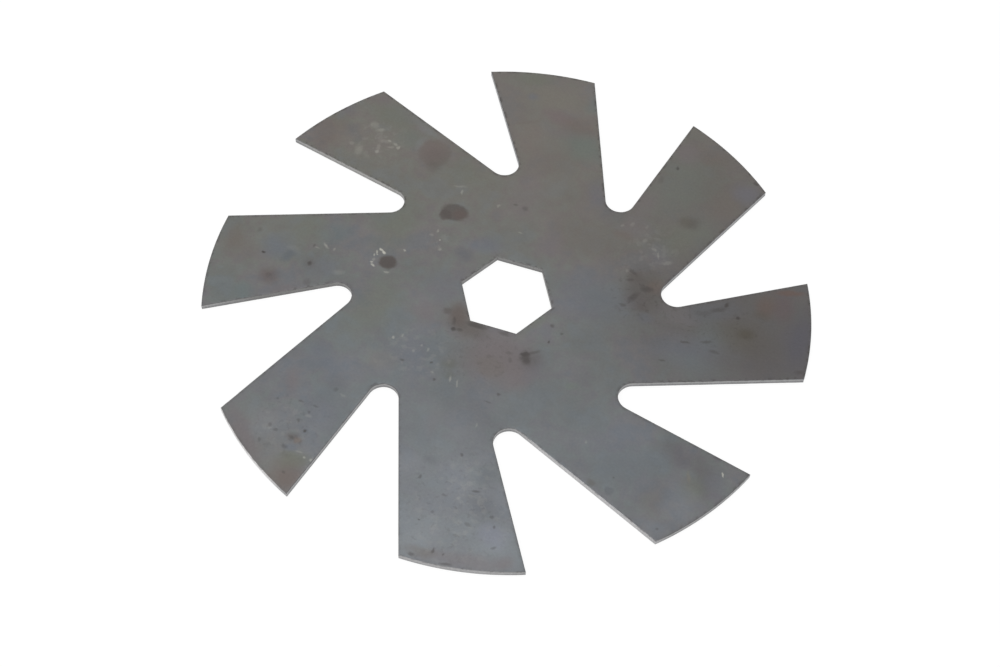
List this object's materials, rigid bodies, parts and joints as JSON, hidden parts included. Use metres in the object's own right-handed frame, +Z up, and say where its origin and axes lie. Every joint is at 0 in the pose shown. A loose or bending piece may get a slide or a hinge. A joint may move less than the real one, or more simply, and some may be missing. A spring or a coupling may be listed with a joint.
{
  "type": "brush cutter blade",
  "caption": "Flat sheet-steel cutter blade with swept flared arms, round-bottomed gullets between them and a hexagonal hole that a shaft drives.",
  "frame": {"origin": "middle of the hexagonal hole, on the lower face", "axes": "+Z up, square to the sheet; +X through a corner of the hexagon and the back corner of an arm's tip"},
  "size_m": [0.2, 0.2, 0.002],
  "materials": {
    "bare_steel": "rolled sheet with grey mill scale, stains and light scuffs; cut edges lighter"
  },
  "bodies": {
    "root": {"cutter_blade": "bare_steel"}
  },
  "joints": []
}
